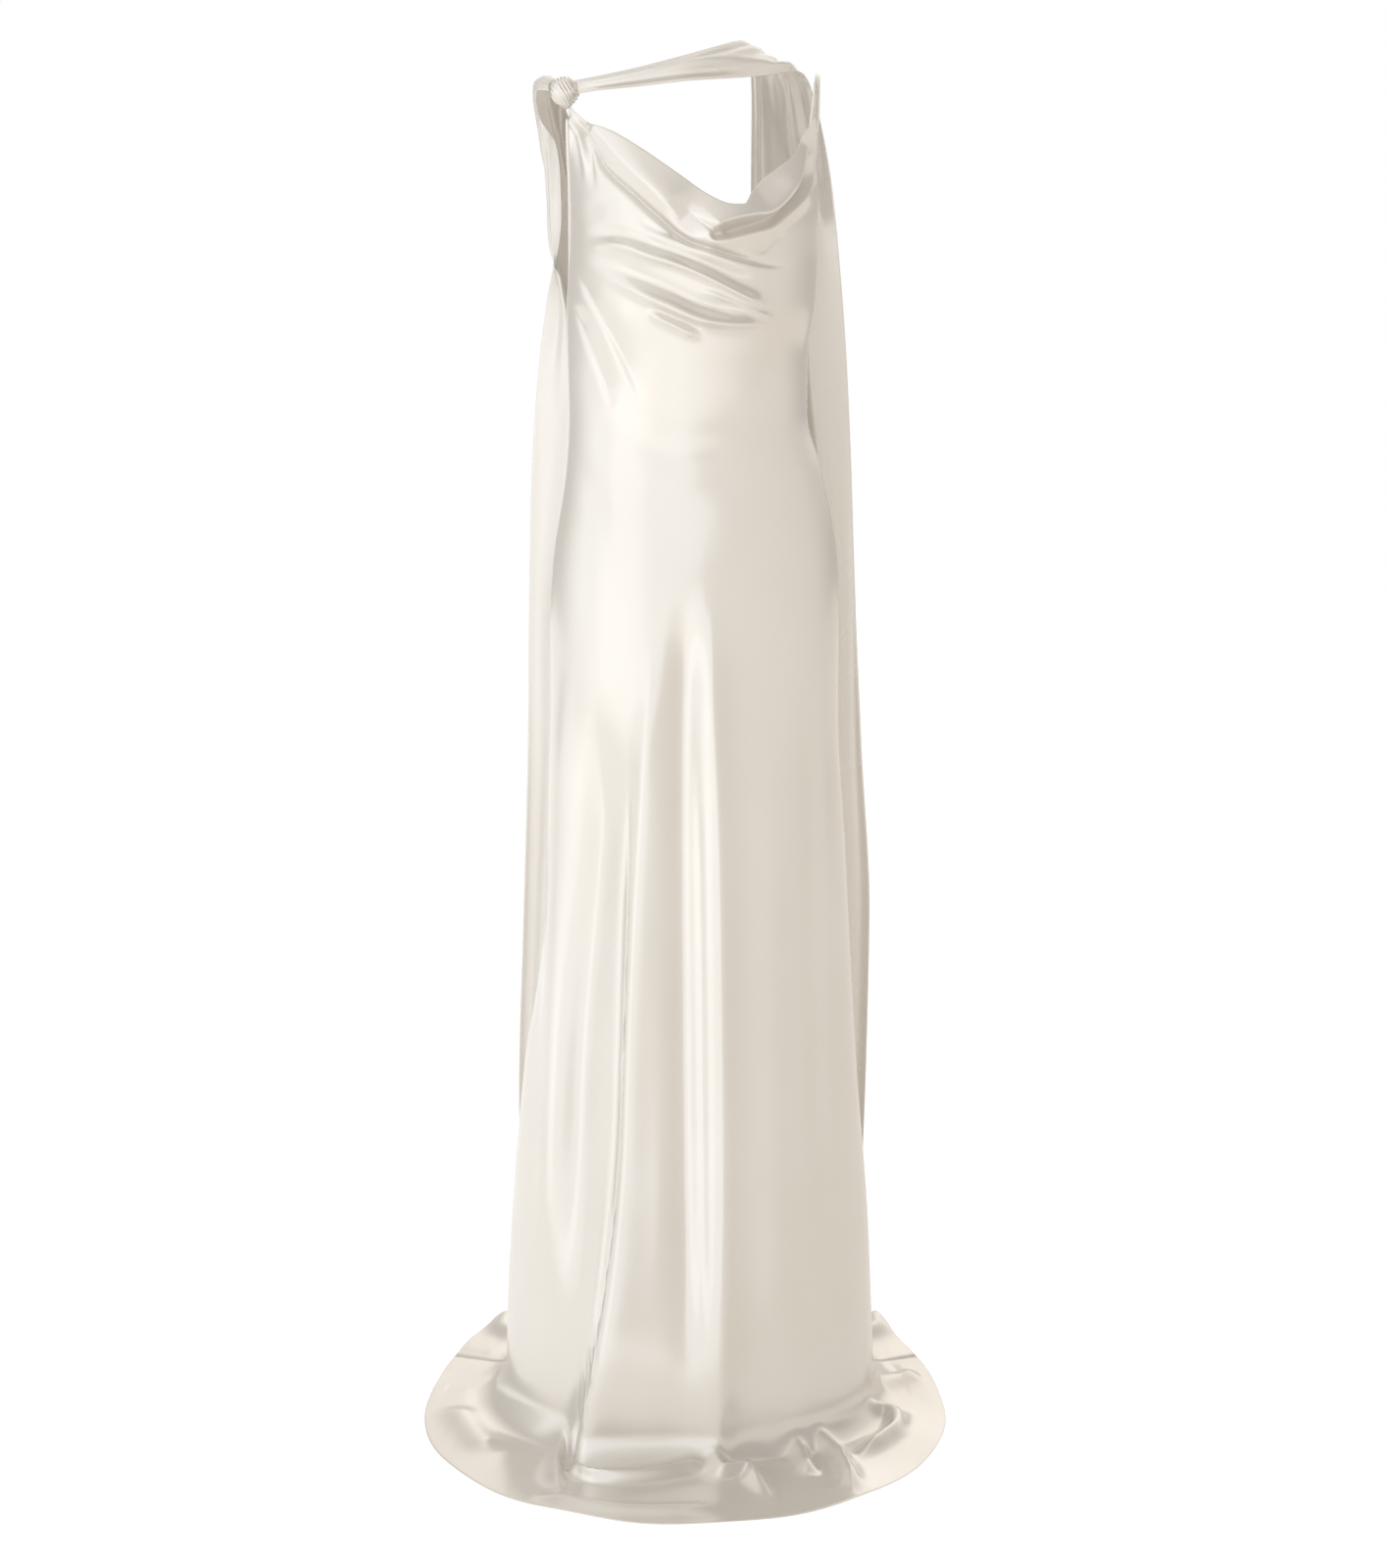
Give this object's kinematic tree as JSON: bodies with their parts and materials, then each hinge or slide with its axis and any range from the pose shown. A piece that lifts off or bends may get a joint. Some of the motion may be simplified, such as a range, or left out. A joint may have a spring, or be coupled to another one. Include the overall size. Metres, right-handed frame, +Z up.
{
  "type": "wedding dress",
  "caption": "Bias-cut satin wedding gown with a slanted cowl neck, a knotted shoulder, a thin strap, a scarf that crosses the open neck and hangs as two back panels, and a puddled hem.",
  "frame": {"origin": "midway between the two shoulder supports, 1.45 m above the floor that the hem lies on, where the wearer's shoulders hold the gown", "axes": "+Z up, -Y out of the gown's front, +X towards the wearer's left"},
  "size_m": [0.5752, 0.7964, 1.488],
  "materials": {
    "satin_front": "ivory satin, soft sheen",
    "satin_back": "ivory satin, soft sheen",
    "satin_knot": "ivory satin, pleated",
    "satin_strap": "ivory satin rouleau",
    "satin_binding": "ivory satin, folded strip",
    "satin_scarf": "ivory satin, soft sheen"
  },
  "bodies": {
    "root": {"front_panel": "satin_front", "back_panel": "satin_back", "shoulder_knot": "satin_knot", "shoulder_strap": "satin_strap", "knot_strap": "satin_strap", "armhole_binding": "satin_binding", "scarf_neck_band": "satin_scarf", "scarf_left_tail": "satin_scarf", "scarf_right_tail": "satin_scarf"}
  },
  "joints": []
}
